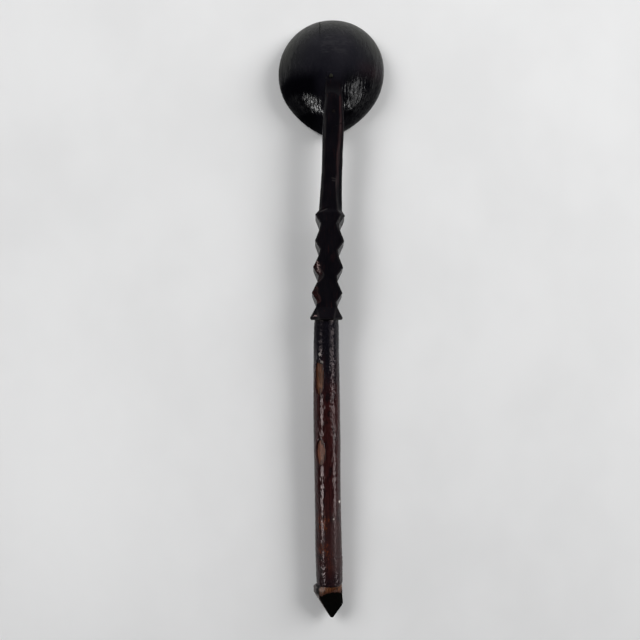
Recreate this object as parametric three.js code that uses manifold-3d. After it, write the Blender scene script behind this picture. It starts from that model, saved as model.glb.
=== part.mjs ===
// A long-handled ladle lying face down: a shell bowl, a carved neck with toothed sides,
// and a bark-covered grip that ends in a whittled point.
// +X runs across it, +Y from its point to its bowl and +Z up. The bowl's rim lies on z = 0.
import * as THREE from "three";
import { mergeVertices } from "three/addons/utils/BufferGeometryUtils.js";
import Module from "manifold-3d";

const wasm = await Module();
wasm.setup();

// Driving dimensions, in millimetres
const GAP = 0.3; // clearance between pieces that touch
const BOWL_WIDTH = 80.5;
const BOWL_FAR = 38.5; // from the bowl's widest place to its far rim
const BOWL_NEAR = 49; // from the bowl's widest place to the rim under the arm
const BOWL_DEPTH = 30;
const BOWL_WALL = 3.8;
const BOWL_LEAN = 1.4; // of its outline to the right at the far rim, in degrees
const ARM_LENGTH = 63.7; // from the near rim to the first tooth's peak
const ARM_DEPTH = 14;
const ARM_RIM_WIDTH = 15.5; // where the arm leaves the bowl
const ARM_WAIST_WIDTH = 14.8;
const ARM_SHOULDER_WIDTH = 17.2; // just above the first tooth
const SHOULDER_HEIGHT = 3.8; // from the shoulder to the first tooth's peak
const STRAP_LENGTH = 40; // how far the arm lies on the bowl's back
const STRAP_END_WIDTH = 10.4;
const STRAP_END_THICKNESS = 1.2;
const TOOTH_COUNT = 4;
const TOOTH_PITCH = 18.9;
const TOOTH_PEAK_WIDTH = 22;
const TOOTH_VALLEY_WIDTH = 15.4;
const TOOTH_DEPTH = 15.4;
const TOOTH_LAND = 2.4; // length of a tooth's rounded peak
const SKIRT_WIDTH = 23.8;
const SKIRT_DEPTH = 22.6;
const SKIRT_LAND = 1.6; // height of the skirt's upright rim
const GRIP_LENGTH = 197.2; // from the skirt to the bark's lip
const GRIP_TOP_DIAMETER = 18.5;
const GRIP_SWELL_DIAMETER = 20; // at the thickest place of its upper half
const GRIP_MIDDLE_DIAMETER = 19.4;
const GRIP_LIP_DIAMETER = 20.6;
const BARK = 0.8; // thickness of the bark
const TENON_DIAMETER = 9;
const TENON_LENGTH = 24;
const POINT_LENGTH = 26; // from the bark's lip to the tip
const POINT_WIDTH = 22.6; // the bare end swells past the bark on one side
const POINT_OFFSET = 1.1; // and this is how far its middle moves to that side
const POINT_SWELL = 2.3; // length over which it swells
const TIP_RADIUS = 1.8;
const PEG_DIAMETER = 2.6;
const PEG_PROUD = 0.8; // how far a peg stands into the bowl
const INNER_PEG_FROM_RIM = 37; // along Y from the near rim
const INNER_PEG_ASIDE = 2; // to the left of the arm's middle
const OUTER_PEG_FROM_RIM = 11.5;

// Trims on the long edges: the arm's at the left and right of its face and on its underside,
// and one for all edges of the teeth and of the skirt
const LEFT_BEVEL = 1.7;
const RIGHT_BEVEL = 3;
const UNDER_BEVEL = 3.2;
const TOOTH_BEVEL = 0.5;
const SKIRT_BEVEL = 6.4;

// Worn places that go through the bark: distance below the skirt, length, width,
// and turn to the left of the top, in degrees. Each is opened by an ellipsoid this high.
const WORN_HEIGHT = 6.4;
const WORN_PLACES = [
  { below: 42.6, length: 24.5, width: 7.6, turn: 37 },
  { below: 96.8, length: 18.6, width: 7, turn: 33 },
];

// Knife facets of the point: turn to the left of the top and lean to the axis, in degrees
const POINT_FACETS = [
  { turn: 74, lean: 31.5 },
  { turn: 26, lean: 29 },
  { turn: -22, lean: 27 },
  { turn: -82, lean: 33 },
  { turn: -130, lean: 31 },
  { turn: 180, lean: 27 },
  { turn: 128, lean: 30 },
  { turn: 0, lean: 90 },
];

// Places along Y, from the far rim down to the tip
const TEETH_LENGTH = TOOTH_COUNT * TOOTH_PITCH;
const HANDLE_LENGTH = ARM_LENGTH + TEETH_LENGTH + GRIP_LENGTH + POINT_LENGTH;
const FAR_RIM = (BOWL_FAR + BOWL_NEAR + HANDLE_LENGTH) / 2;
const BOWL_MIDDLE = FAR_RIM - BOWL_FAR;
const NEAR_RIM = BOWL_MIDDLE - BOWL_NEAR;
const STRAP_END = NEAR_RIM + STRAP_LENGTH;
const FIRST_PEAK = NEAR_RIM - ARM_LENGTH;
const SKIRT = FIRST_PEAK - TEETH_LENGTH;
const GRIP_SWELL = SKIRT - 0.4 * GRIP_LENGTH;
const GRIP_MIDDLE = SKIRT - 0.65 * GRIP_LENGTH;
const LIP = SKIRT - GRIP_LENGTH;
const TIP = LIP - POINT_LENGTH;

// The handle's gentle sideways bow: X of its middle line at places along Y
const BOW = [
  [STRAP_END, 1.4],
  [NEAR_RIM, 1.1],
  [FIRST_PEAK, -1.1],
  [FIRST_PEAK - TEETH_LENGTH / 2, -2.6],
  [SKIRT, -3.9],
  [GRIP_SWELL, -3.4],
  [GRIP_MIDDLE, -2.8],
  [LIP, -1.3],
  [TIP, 0.4],
];

// The bowl's outline is nearly an ellipse at its far half and an egg's blunt nose at its near
// half. With t = y / length, its half width is (1 - t ** 2) ** FAR_WIDTH_POWER at the far half
// and (1 - t ** NOSE_LENGTH_POWER) ** NOSE_WIDTH_POWER at the nose.
const FAR_WIDTH_POWER = 0.53;
const NOSE_LENGTH_POWER = 2.15;
const NOSE_WIDTH_POWER = 0.77;
const DOME_POWER = 2.1; // 2 is a half ellipsoid, more is boxier
const OUTLINE_POINTS = 56;
const DOME_RINGS = 13;
const ROUND_SIDES = 28;
const PEG_SIDES = 16;
const ROD_STEP = 14; // between a rod's rings
const MERGE_DISTANCE = 1e-4;

const { PI, sin, cos, tan, abs, sign } = Math;
const radians = THREE.MathUtils.degToRad;
const mix = THREE.MathUtils.lerp;
const UP = new THREE.Vector3(0, 0, 1);

// A smooth curve through [place, value] pairs that run from high places to low ones.
function smooth(pairs, place) {
  const last = pairs.length - 1;
  const slope = (i) => {
    const a = pairs[Math.max(i - 1, 0)];
    const b = pairs[Math.min(i + 1, last)];
    return (b[1] - a[1]) / (b[0] - a[0]);
  };
  let i = 0;
  while (i < last - 1 && place < pairs[i + 1][0]) i++;
  const [from, start] = pairs[i];
  const [to, end] = pairs[i + 1];
  const span = to - from;
  const t = THREE.MathUtils.clamp((place - from) / span, 0, 1);
  const ease = t * t * (3 - 2 * t);
  const leave = t * (1 - t) * (1 - t) * span * slope(i);
  const arrive = t * t * (t - 1) * span * slope(i + 1);
  return mix(start, end, ease) + leave + arrive;
}

// Height of the bowl's back above its rim on the middle line, at y, grown outwards.
function domeHeight(y, grow) {
  const reach = (y > BOWL_MIDDLE ? BOWL_FAR : BOWL_NEAR) + grow;
  const t = Math.min(abs(y - BOWL_MIDDLE) / reach, 1);
  return (BOWL_DEPTH + grow) * (1 - t ** DOME_POWER) ** (1 / DOME_POWER);
}

// The handle's middle line slopes from the strap's end down to the lip, which lies on z = 0.
const STRAP_END_MIDDLE = domeHeight(STRAP_END, 0) + STRAP_END_THICKNESS - ARM_DEPTH / 2;
const LIP_MIDDLE = GRIP_LIP_DIAMETER / 2;

function middle(y) {
  const t = (y - LIP) / (STRAP_END - LIP);
  return new THREE.Vector3(smooth(BOW, y), y, mix(LIP_MIDDLE, STRAP_END_MIDDLE, t));
}

// A closed body through rings of equally many points, with a fan at each end.
function loft(rings, start, end) {
  const count = rings[0].length;
  const points = [start, ...rings.flat(), end];
  const last = points.length - 1;
  const at = (ring, k) => 1 + ring * count + (k % count);
  const faces = [];
  for (let k = 0; k < count; k++) {
    faces.push([0, at(0, k + 1), at(0, k)]);
    for (let r = 0; r < rings.length - 1; r++) {
      faces.push([at(r, k), at(r, k + 1), at(r + 1, k + 1)]);
      faces.push([at(r, k), at(r + 1, k + 1), at(r + 1, k)]);
    }
    faces.push([last, at(rings.length - 1, k), at(rings.length - 1, k + 1)]);
  }
  let volume = 0;
  for (const [a, b, c] of faces) {
    volume += points[a].dot(points[b].clone().cross(points[c]));
  }
  if (volume < 0) faces.forEach((face) => face.reverse());
  const geometry = new THREE.BufferGeometry().setFromPoints(points);
  return geometry.setIndex(faces.flat());
}

function centreOf(ring) {
  const total = new THREE.Vector3();
  for (const point of ring) total.add(point);
  return total.divideScalar(ring.length);
}

// A three.js geometry as a solid that can be joined and cut.
function solid(geometry) {
  geometry.deleteAttribute("normal");
  geometry.deleteAttribute("uv");
  const merged = mergeVertices(geometry, MERGE_DISTANCE);
  const vertProperties = new Float32Array(merged.attributes.position.array);
  const triVerts = new Uint32Array(merged.index.array);
  return new wasm.Manifold(new wasm.Mesh({ numProp: 3, vertProperties, triVerts }));
}

function geometryOf(made) {
  const mesh = made.getMesh();
  const geometry = new THREE.BufferGeometry();
  geometry.setAttribute("position", new THREE.BufferAttribute(mesh.vertProperties, 3));
  geometry.setIndex(new THREE.BufferAttribute(mesh.triVerts, 1));
  return geometry;
}

// One ring of the bowl, level 0 at its apex and 1 at its rim, with its sizes grown outwards.
function bowlRing(level, grow) {
  const angle = (level * PI) / 2;
  const reach = sin(angle) ** (2 / DOME_POWER);
  const z = (BOWL_DEPTH + grow) * Math.max(cos(angle), 0) ** (2 / DOME_POWER);
  const farPower = 2 * mix(0.5, FAR_WIDTH_POWER, reach);
  const nosePower = 2 * mix(0.5, NOSE_WIDTH_POWER, reach);
  const lengthPower = 2 / mix(2, NOSE_LENGTH_POWER, reach);
  const ring = [];
  for (let k = 0; k < OUTLINE_POINTS; k++) {
    const turn = (2 * PI * k) / OUTLINE_POINTS;
    const across = cos(turn);
    const along = sin(turn);
    const far = along >= 0;
    const x = sign(across) * abs(across) ** (far ? farPower : nosePower);
    const y = sign(along) * abs(along) ** (far ? 1 : lengthPower);
    const length = (far ? BOWL_FAR : BOWL_NEAR) + grow;
    const width = BOWL_WIDTH / 2 + grow;
    const forward = y * length * reach;
    const lean = forward * tan(radians(BOWL_LEAN));
    ring.push(new THREE.Vector3(x * width * reach + lean, BOWL_MIDDLE + forward, z));
  }
  return ring;
}

const LEVELS = Array.from({ length: DOME_RINGS }, (_, k) => (k + 1) / DOME_RINGS);
const bowlApex = (grow) => new THREE.Vector3(0, BOWL_MIDDLE, BOWL_DEPTH + grow);

// The bowl's back as a block that runs below the rim, for cutting what lies on it.
function domeBlock(grow) {
  const rings = LEVELS.map((level) => bowlRing(level, grow));
  const below = rings.at(-1).map((p) => p.clone().setZ(-BOWL_DEPTH));
  return solid(loft([...rings, below], bowlApex(grow), centreOf(below)));
}

// A round rod along the handle's middle line, between two places, with a radius at each place.
function rod(from, to, radiusAt) {
  const count = Math.ceil((from - to) / ROD_STEP);
  const rings = [];
  for (let i = 0; i <= count; i++) {
    const y = mix(from, to, i / count);
    rings.push(roundRing(middle(y), radiusAt(y), radiusAt(y)));
  }
  return loft(rings, middle(from), middle(to));
}

function roundRing(centre, halfWidth, halfDepth) {
  return Array.from({ length: ROUND_SIDES }, (_, k) => {
    const turn = (2 * PI * k) / ROUND_SIDES;
    const offset = new THREE.Vector3(-sin(turn) * halfWidth, 0, cos(turn) * halfDepth);
    return centre.clone().add(offset);
  });
}

const pegPlaces = [
  { name: "bowl_peg_inner", y: NEAR_RIM + INNER_PEG_FROM_RIM, aside: INNER_PEG_ASIDE },
  { name: "bowl_peg_outer", y: NEAR_RIM + OUTER_PEG_FROM_RIM, aside: 0 },
].map((peg) => {
  const centre = middle(peg.y);
  const top = centre.z + ARM_DEPTH / 2;
  const bottom = domeHeight(peg.y, -BOWL_WALL) - PEG_PROUD;
  return { ...peg, x: centre.x - peg.aside, top, bottom };
});

// An upright round bar at a peg's place.
function upright(peg, radius, top, bottom) {
  const bar = new THREE.CylinderGeometry(radius, radius, top - bottom, PEG_SIDES);
  bar.rotateX(PI / 2);
  return bar.translate(peg.x, peg.y, (top + bottom) / 2);
}

const pegHoles = pegPlaces.map((peg) =>
  solid(upright(peg, PEG_DIAMETER / 2 + GAP, BOWL_DEPTH + ARM_DEPTH, peg.bottom - BOWL_WALL)),
);

function bowl() {
  const outside = LEVELS.map((level) => bowlRing(level, 0));
  const inside = LEVELS.map((level) => bowlRing(level, -BOWL_WALL)).reverse();
  let made = solid(loft([...outside, ...inside], bowlApex(0), bowlApex(-BOWL_WALL)));
  for (const hole of pegHoles) made = made.subtract(hole);
  return geometryOf(made);
}

// One section across the neck: a block with trimmed long edges.
function neckRing({ y, width, depth, trims }) {
  const { x, z } = middle(y);
  const { left, right, under } = trims;
  const w = width / 2;
  const d = depth / 2;
  const corners = [
    [-w + left, d],
    [w - right, d],
    [w, d - right],
    [w, -d + under],
    [w - under, -d],
    [-w + under, -d],
    [-w, -d + under],
    [-w, d - left],
  ];
  return corners.map(([across, up]) => new THREE.Vector3(x + across, y, z + up));
}

// The neck's sections, from the strap's end to the skirt.
function neckStations() {
  const even = (bevel) => ({ left: bevel, right: bevel, under: bevel });
  const arm = { left: LEFT_BEVEL, right: RIGHT_BEVEL, under: UNDER_BEVEL };
  const tooth = even(TOOTH_BEVEL);
  const skirt = even(SKIRT_BEVEL);
  const stations = [
    { y: STRAP_END, width: STRAP_END_WIDTH, depth: ARM_DEPTH, trims: arm },
    { y: NEAR_RIM, width: ARM_RIM_WIDTH, depth: ARM_DEPTH, trims: arm },
    { y: NEAR_RIM - ARM_LENGTH / 2, width: ARM_WAIST_WIDTH, depth: ARM_DEPTH, trims: arm },
    { y: FIRST_PEAK + SHOULDER_HEIGHT, width: ARM_SHOULDER_WIDTH, depth: ARM_DEPTH, trims: arm },
  ];
  for (let i = 0; i < TOOTH_COUNT; i++) {
    const peak = FIRST_PEAK - i * TOOTH_PITCH;
    for (const y of [peak + TOOTH_LAND / 2, peak - TOOTH_LAND / 2]) {
      stations.push({ y, width: TOOTH_PEAK_WIDTH, depth: TOOTH_DEPTH, trims: tooth });
    }
    const valley = peak - TOOTH_PITCH / 2;
    stations.push({ y: valley, width: TOOTH_VALLEY_WIDTH, depth: TOOTH_DEPTH, trims: tooth });
  }
  for (const y of [SKIRT + SKIRT_LAND, SKIRT]) {
    stations.push({ y, width: SKIRT_WIDTH, depth: SKIRT_DEPTH, trims: skirt });
  }
  return stations;
}

function carvedNeck() {
  const rings = neckStations().map(neckRing);
  const block = solid(loft(rings, centreOf(rings[0]), centreOf(rings.at(-1))));
  const socketRadius = TENON_DIAMETER / 2 + GAP;
  const socket = rod(SKIRT + TENON_LENGTH + GAP, SKIRT - TENON_LENGTH, () => socketRadius);
  let made = block.subtract(domeBlock(GAP)).subtract(solid(socket));
  for (const hole of pegHoles) made = made.subtract(hole);
  return geometryOf(made);
}

// The grip's outer radius over its bark.
const gripRadius = (y) =>
  smooth(
    [
      [SKIRT, GRIP_TOP_DIAMETER / 2],
      [GRIP_SWELL, GRIP_SWELL_DIAMETER / 2],
      [GRIP_MIDDLE, GRIP_MIDDLE_DIAMETER / 2],
      [LIP, GRIP_LIP_DIAMETER / 2],
    ],
    y,
  );

function barkSleeve() {
  const top = SKIRT - GAP;
  const outside = solid(rod(top, LIP, gripRadius));
  const bore = solid(rod(SKIRT, LIP - GAP, (y) => gripRadius(y) - BARK));
  let made = outside.subtract(bore);
  for (const worn of WORN_PLACES) {
    const y = SKIRT - worn.below;
    const turn = radians(worn.turn);
    const cut = new THREE.SphereGeometry(0.5, ROUND_SIDES, ROUND_SIDES / 2);
    cut.scale(worn.width, worn.length, WORN_HEIGHT);
    cut.rotateY(-turn);
    const out = new THREE.Vector3(-sin(turn), 0, cos(turn)).multiplyScalar(gripRadius(y));
    const { x, z } = middle(y).add(out);
    made = made.subtract(solid(cut.translate(x, y, z)));
  }
  return geometryOf(made);
}

// A block that takes away everything beyond a knife facet of the point.
function knife({ turn, lean }) {
  const out = new THREE.Vector3(-sin(radians(turn)), 0, cos(radians(turn)));
  const facing = out.multiplyScalar(cos(radians(lean)));
  facing.y = -sin(radians(lean));
  const side = 3 * POINT_LENGTH; // longer than the point from any side
  const block = new THREE.BoxGeometry(side, side, side).translate(0, 0, side / 2 + TIP_RADIUS);
  block.applyQuaternion(new THREE.Quaternion().setFromUnitVectors(UP, facing));
  const tip = middle(TIP + TIP_RADIUS);
  return solid(block.translate(tip.x, tip.y, tip.z));
}

function gripCore() {
  const coreRadius = (y) => gripRadius(y) - BARK - GAP;
  const shaft = rod(SKIRT - GAP, LIP - POINT_LENGTH / 2, coreRadius);
  const tenon = rod(SKIRT + TENON_LENGTH, SKIRT - TENON_LENGTH, () => TENON_DIAMETER / 2);
  const swell = [
    [LIP - GAP, 0],
    [LIP - GAP - POINT_SWELL, 1],
    [TIP - TIP_RADIUS, 1],
  ];
  const rings = swell.map(([y, share]) => {
    const halfWidth = mix(coreRadius(LIP), POINT_WIDTH / 2, share);
    const centre = middle(y);
    centre.x -= POINT_OFFSET * share;
    return roundRing(centre, halfWidth, coreRadius(LIP));
  });
  const end = solid(loft(rings, centreOf(rings[0]), centreOf(rings.at(-1))));
  let made = solid(shaft).add(end);
  for (const facet of POINT_FACETS) made = made.subtract(knife(facet));
  return geometryOf(made.add(solid(tenon)));
}

function pegGeometry(peg) {
  return upright(peg, PEG_DIAMETER / 2, peg.top, peg.bottom);
}

// Finishes
const finish = (color, roughness) =>
  new THREE.MeshStandardMaterial({ color, roughness, metalness: 0, flatShading: true });
const polishedShell = finish(0x17151a, 0.3);
const blackWood = finish(0x141218, 0.45);
const redBark = finish(0x4a1f18, 0.3);
const bareWood = finish(0xa8683e, 0.6);

const ladle = new THREE.Group();

function addPiece(name, geometry, material) {
  const mesh = new THREE.Mesh(geometry, material);
  mesh.name = name;
  ladle.add(mesh);
}

addPiece("bowl", bowl(), polishedShell);
addPiece("carved_neck", carvedNeck(), blackWood);
addPiece("bark_sleeve", barkSleeve(), redBark);
addPiece("grip_core", gripCore(), bareWood);
for (const peg of pegPlaces) addPiece(peg.name, pegGeometry(peg), bareWood);

export default ladle;
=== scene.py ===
"""Looks of a long-handled carved ladle that lies face down on a pale table.

Shapes are worked out in millimetres, in the frame's axes: +X across, +Y from the point to the
bowl and +Z up. They become metres when their meshes are made.
"""

import math

import bpy
import numpy as np
from mathutils import Matrix, Vector


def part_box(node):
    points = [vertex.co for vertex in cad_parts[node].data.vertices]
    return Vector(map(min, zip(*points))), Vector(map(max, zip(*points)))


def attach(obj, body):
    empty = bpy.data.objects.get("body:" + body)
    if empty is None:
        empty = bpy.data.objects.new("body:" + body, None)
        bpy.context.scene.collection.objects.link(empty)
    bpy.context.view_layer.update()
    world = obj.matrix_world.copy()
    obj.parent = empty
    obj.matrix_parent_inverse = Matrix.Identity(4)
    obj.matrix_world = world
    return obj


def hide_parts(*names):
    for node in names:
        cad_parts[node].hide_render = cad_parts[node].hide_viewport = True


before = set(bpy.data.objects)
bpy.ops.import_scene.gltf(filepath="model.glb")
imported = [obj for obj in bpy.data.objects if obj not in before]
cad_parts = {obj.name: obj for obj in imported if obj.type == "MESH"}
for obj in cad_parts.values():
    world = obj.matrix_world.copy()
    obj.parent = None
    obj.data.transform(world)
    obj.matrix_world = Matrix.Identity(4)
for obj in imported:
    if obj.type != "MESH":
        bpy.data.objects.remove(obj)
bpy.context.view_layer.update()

METRES = 0.001


def node_box(node):
    """Lowest and highest corner of a CAD node in millimetres."""
    return [np.array(corner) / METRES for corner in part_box(node)]


# Places along Y and heights, from the frame
BOWL_LOW, BOWL_HIGH = node_box("bowl")
NECK_LOW, NECK_HIGH = node_box("carved_neck")
SLEEVE_LOW, SLEEVE_HIGH = node_box("bark_sleeve")
CORE_LOW, CORE_HIGH = node_box("grip_core")
FAR_RIM, NEAR_RIM, BOWL_DEPTH = BOWL_HIGH[1], BOWL_LOW[1], BOWL_HIGH[2]
STRAP_END, SKIRT = NECK_HIGH[1], NECK_LOW[1]
RECESS = 1.5  # how far the bark stands into the skirt
BARK_TOP, LIP = SLEEVE_HIGH[1] + RECESS, SLEEVE_LOW[1]
TENON_END, TIP = CORE_HIGH[1], CORE_LOW[1]

# The bowl
BOWL_WIDTH = 80.5
BOWL_FAR = 38.5  # from its widest place to the far rim
BOWL_MIDDLE = FAR_RIM - BOWL_FAR
BOWL_NEAR = BOWL_MIDDLE - NEAR_RIM
BOWL_WALL = 3.8
BOWL_LEAN = math.tan(math.radians(1.4))  # its middle line's slope against Y
ELLIPSE_POWER = 0.5  # width power near the apex, where rings are ellipses
FAR_WIDTH_POWER = 0.49
NOSE_LENGTH_POWER = 2.15
NOSE_WIDTH_POWER = 0.77
DOME_POWER = 2.1
RIM_HEIGHT = 1.1  # height of the rim's rounded edge
BOWL_UNEVEN = 0.12  # how far the hand-worked back sinks below its true form

# The neck
ARM_DEPTH = 14.0
TOOTH_DEPTH = 15.4
SKIRT_DEPTH = 21.8
SKIRT_SINK = 1.4  # how much shallower the skirt is at its end
SEAT_GAP = 0.3
STRAP_GAP = 0.12  # under the strap, where it lies on the bowl's back
STRAP_FADE = 3.0  # length of the thin end that lies on the bowl's back like a skin
STRAP_END_THICKNESS = 0.06
STRAP_RISE = 0.021  # how fast it thickens from there, for each millimetre squared
STRAP_BLEND = 0.9  # how softly it runs into the arm
EDGE_SOFTNESS = 0.35

# The grip
GRIP_TOP_RADIUS = 9.25
GRIP_SWELL_RADIUS = 10.0
GRIP_MIDDLE_RADIUS = 9.7
GRIP_LIP_RADIUS = 10.3
GRIP_LENGTH = SKIRT - LIP
GRIP_SWELL = SKIRT - 0.4 * GRIP_LENGTH
GRIP_MIDDLE = SKIRT - 0.65 * GRIP_LENGTH
BARK = 0.8
CORE_GAP = 0.3
TENON_RADIUS = 4.5

# The point
POINT_RADIUS = 10.8
POINT_OFFSET = 1.55
POINT_SWELL = 2.3
TIP_RADIUS = 1.8
POINT_FACETS = [(74, 31.5), (26, 29), (-22, 27), (-82, 33), (-130, 31), (180, 27), (128, 30)]

# The handle's sideways bow: X of its middle line at places along Y
BOW = [
    (STRAP_END, 1.4),
    (NEAR_RIM, 1.1),
    (73.8, -1.1),
    (36.0, -2.6),
    (SKIRT, -3.9),
    (GRIP_SWELL, -3.4),
    (GRIP_MIDDLE, -2.8),
    (LIP, -1.3),
    (TIP, 0.4),
]
LIP_MIDDLE = GRIP_LIP_RADIUS
STRAP_END_MIDDLE = NECK_HIGH[2] - ARM_DEPTH / 2
FAR_AWAY = 1000  # stands for no limit


def mix(a, b, share):
    return a + (b - a) * share


def ease(value, start, end):
    """0 at start, 1 at end and smooth between them."""
    t = np.clip((value - start) / (end - start), 0, 1)
    return t * t * (3 - 2 * t)


def smooth(pairs, places):
    """The smooth curve through (place, value) pairs, at many places."""
    x, y = np.array(sorted(pairs), float).T
    low = np.maximum(np.arange(len(x)) - 1, 0)
    high = np.minimum(np.arange(len(x)) + 1, len(x) - 1)
    slope = (y[high] - y[low]) / (x[high] - x[low])
    i = np.clip(np.searchsorted(x, places) - 1, 0, len(x) - 2)
    span = x[i + 1] - x[i]
    t = np.clip((places - x[i]) / span, 0, 1)
    curve = mix(y[i], y[i + 1], t * t * (3 - 2 * t))
    return curve + span * (t * (1 - t) ** 2 * slope[i] + t * t * (t - 1) * slope[i + 1])


def middle_x(y):
    return smooth(BOW, y)


def middle_z(y):
    return mix(LIP_MIDDLE, STRAP_END_MIDDLE, (y - LIP) / (STRAP_END - LIP))


def lumps(points, grain, seed):
    """Smooth noise from -1 to 1 at points (n, 3). Grain is its size along x, y and z."""
    cells = points / np.array(grain, float) + seed * 17.31
    base = np.floor(cells).astype(np.int64)
    part = cells - base
    part = part * part * (3 - 2 * part)
    total = np.zeros(len(points))
    for corner in np.ndindex(2, 2, 2):
        key = (base + corner) @ np.array([73856093, 19349663, 83492791])
        key = (key ^ (key >> 13)) * 1274126177 & 0x7FFFFFFF
        value = ((key ^ (key >> 15)) & 0xFFFF) / 32767.5 - 1
        total += value * np.prod(np.where(corner, part, 1 - part), axis=1)
    return total


def blob(points, centre, size, seed, ragged=0.5):
    """1 in the middle of a spot, 0 outside it, with a ragged edge."""
    away = np.linalg.norm((points - np.array(centre)) / np.array(size), axis=1)
    away += ragged * lumps(points, np.array(size) * 0.45, seed)
    return 1 - ease(away, 0.55, 1.05)


def full_turn(count):
    """Angles all the way round, in radians."""
    return np.linspace(0, 2 * math.pi, count, endpoint=False)


def hill(value, middle, width):
    """1 in the middle of a smooth hill and near 0 beyond twice its width."""
    return np.exp(-(((value - middle) / width) ** 2))


def spots(points, rows):
    """The strongest of several spots, each with its strength, centre, size, seed and raggedness."""
    return np.max([strength * blob(points, *spot) for strength, *spot in rows], axis=0)


def layers(points, rows):
    """The sum of several noises, each with its depth, grain and seed."""
    return sum(depth * lumps(points, grain, seed) for depth, grain, seed in rows)


def skin(rings, looped=False):
    """Points and faces of a closed body through rings (rings, points, 3).

    A fan closes each end, unless the last ring joins the first one.
    """
    count, around = rings.shape[:2]
    points = rings.reshape(-1, 3)
    rows = np.arange(count if looped else count - 1)[:, None] * around
    here = np.arange(around)[None, :]
    there = (here + 1) % around
    above = (rows + around) % (count * around)
    quads = np.stack([rows + here, rows + there, above + there, above + here], axis=2)
    faces = quads.reshape(-1, 4).tolist()
    if not looped:
        first, last = len(points), len(points) + 1
        end = (count - 1) * around
        points = np.vstack([points, rings[0].mean(axis=0), rings[-1].mean(axis=0)])
        for k in range(around):
            faces.append([first, (k + 1) % around, k])
            faces.append([last, end + k, end + (k + 1) % around])
    return points, faces


def body_mesh(name, points, faces):
    """A smooth mesh with its faces turned outwards."""
    corners = [points[[face[k] for face in faces]] for k in range(3)]
    volume = np.einsum("ij,ij->", corners[0], np.cross(corners[1], corners[2]))
    if volume < 0:
        faces = [face[::-1] for face in faces]
    mesh = bpy.data.meshes.new(name)
    mesh.from_pydata((points * METRES).tolist(), [], faces)
    mesh.polygons.foreach_set("use_smooth", [True] * len(mesh.polygons))
    mesh.update()
    return mesh


def cut(piece, cutters):
    """Takes closed shapes, each given as points and faces, out of a piece."""
    for points, faces in cutters:
        tool = bpy.data.objects.new("cutter", body_mesh("cutter", points, faces))
        bpy.context.collection.objects.link(tool)
        change = piece.modifiers.new("cut", "BOOLEAN")
        change.operation = "DIFFERENCE"
        change.solver = "EXACT"
        change.object = tool
        graph = bpy.context.evaluated_depsgraph_get()
        cut_mesh = bpy.data.meshes.new_from_object(piece.evaluated_get(graph))
        piece.modifiers.clear()
        piece.data = cut_mesh
        bpy.data.objects.remove(tool)
    piece.data.polygons.foreach_set("use_smooth", [True] * len(piece.data.polygons))


def points_of(piece):
    """The piece's points in millimetres."""
    flat = np.zeros(len(piece.data.vertices) * 3)
    piece.data.vertices.foreach_get("co", flat)
    return flat.reshape(-1, 3) / METRES


def paint(piece, name, values):
    """Stores a mask from 0 to 1 on the piece's points, for its material."""
    layer = piece.data.attributes.new(name, "FLOAT", "POINT")
    layer.data.foreach_set("value", np.clip(values, 0, 1))


def add_piece(name, shape, node, material):
    """A piece of the ladle that rides on its body and stands for a CAD node."""
    piece = bpy.data.objects.new(name, body_mesh(name, *shape))
    bpy.context.collection.objects.link(piece)
    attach(piece, "root")
    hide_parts(node)
    piece.data.materials.append(material)
    return piece


# The bowl


BOWL_AROUND = 340
BACK_RINGS, INSIDE_RINGS, RIM_RINGS = 150, 110, 14
APEX = 0.004  # level of the smallest ring


def bowl_rings(levels, grow):
    """Rings of the bowl's form from its apex, level 0, to its rim, level 1."""
    angle = levels[:, None] * math.pi / 2
    reach = np.sin(angle) ** (2 / DOME_POWER)
    height = (BOWL_DEPTH + grow) * np.clip(np.cos(angle), 0, 1) ** (2 / DOME_POWER)
    turn = full_turn(BOWL_AROUND)
    across, forth = np.cos(turn), np.sin(turn)
    far = forth >= 0
    far_power = 2 * mix(ELLIPSE_POWER, FAR_WIDTH_POWER, reach)
    nose_power = 2 * mix(ELLIPSE_POWER, NOSE_WIDTH_POWER, reach)
    length_power = 2 / mix(2, NOSE_LENGTH_POWER, reach)
    x = np.sign(across) * np.abs(across) ** np.where(far, far_power, nose_power)
    y = np.sign(forth) * np.abs(forth) ** np.where(far, 1, length_power)
    forward = y * (np.where(far, BOWL_FAR, BOWL_NEAR) + grow) * reach
    x = x * (BOWL_WIDTH / 2 + grow) * reach + forward * BOWL_LEAN
    z = np.broadcast_to(height, x.shape)
    return np.stack([x, BOWL_MIDDLE + forward, z], axis=2)


LEAST_REACH, MOST_REACH, SEARCH_STEPS = 1e-4, 3.0, 30
OUTSIDE = -100.0  # height outside the rim


def dome(x, y):
    """Height of the bowl's back at many places, and far below it outside the rim."""
    forward = y - BOWL_MIDDLE
    x = np.abs(x - forward * BOWL_LEAN)
    far = forward >= 0
    length = np.where(far, BOWL_FAR, BOWL_NEAR)
    low, high = np.full(x.shape, LEAST_REACH), np.full(x.shape, MOST_REACH)
    for _ in range(SEARCH_STEPS):
        reach = (low + high) / 2
        inside = np.minimum(reach, 1)
        width_power = mix(ELLIPSE_POWER, np.where(far, FAR_WIDTH_POWER, NOSE_WIDTH_POWER), inside)
        length_power = np.where(far, 1, 2 / mix(2, NOSE_LENGTH_POWER, inside))
        part = (x / (BOWL_WIDTH / 2 * reach)) ** (1 / width_power)
        part += (np.abs(forward) / (length * reach)) ** (2 / length_power)
        low = np.where(part > 1, reach, low)
        high = np.where(part > 1, high, reach)
    under = np.clip(1 - reach**DOME_POWER, 0, 1) ** (1 / DOME_POWER)
    return np.where(reach < 1, BOWL_DEPTH * under, OUTSIDE)


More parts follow.
